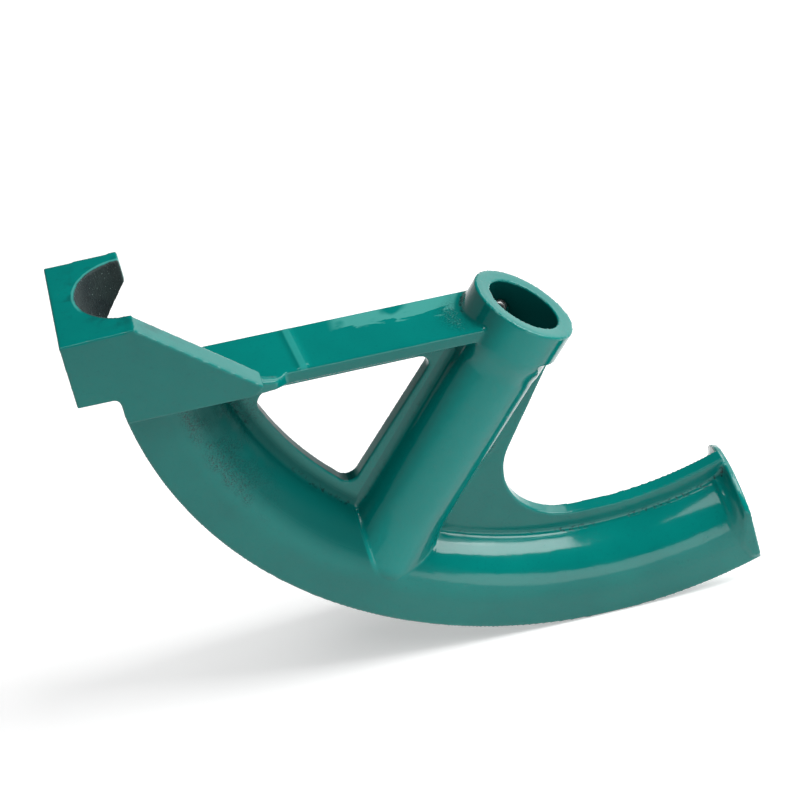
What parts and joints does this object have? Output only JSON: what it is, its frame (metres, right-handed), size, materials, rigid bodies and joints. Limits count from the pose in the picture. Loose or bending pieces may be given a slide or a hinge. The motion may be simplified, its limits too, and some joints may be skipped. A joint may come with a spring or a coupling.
{
  "type": "hand conduit bender head",
  "caption": "Cast head of a hand bender for metal conduit: curved grooved shoe, open hook, foot bar, windowed web and an angled handle socket with a set screw.",
  "frame": {"origin": "centre of the handle socket's mouth", "axes": "+X along the foot bar from the hook towards the shoe's end, +Y across the tool, +Z the way a straight conduit leaves the hook; the socket's bore leans 33.2 degrees from +Z towards +X"},
  "size_m": [0.2408, 0.0491, 0.178],
  "materials": {
    "painted_casting": "glossy teal-green paint over sand-cast iron",
    "zinc_screw": "zinc plated steel"
  },
  "bodies": {
    "casting": {"bender_head": "painted_casting"},
    "screw": {"set_screw": "zinc_screw"}
  },
  "joints": [
    {"name": "set_screw_travel", "type": "slide", "parent": "casting", "child": "screw", "axis": [0, -1, 0], "range_m": [-0.003, 0.0065]}
  ]
}
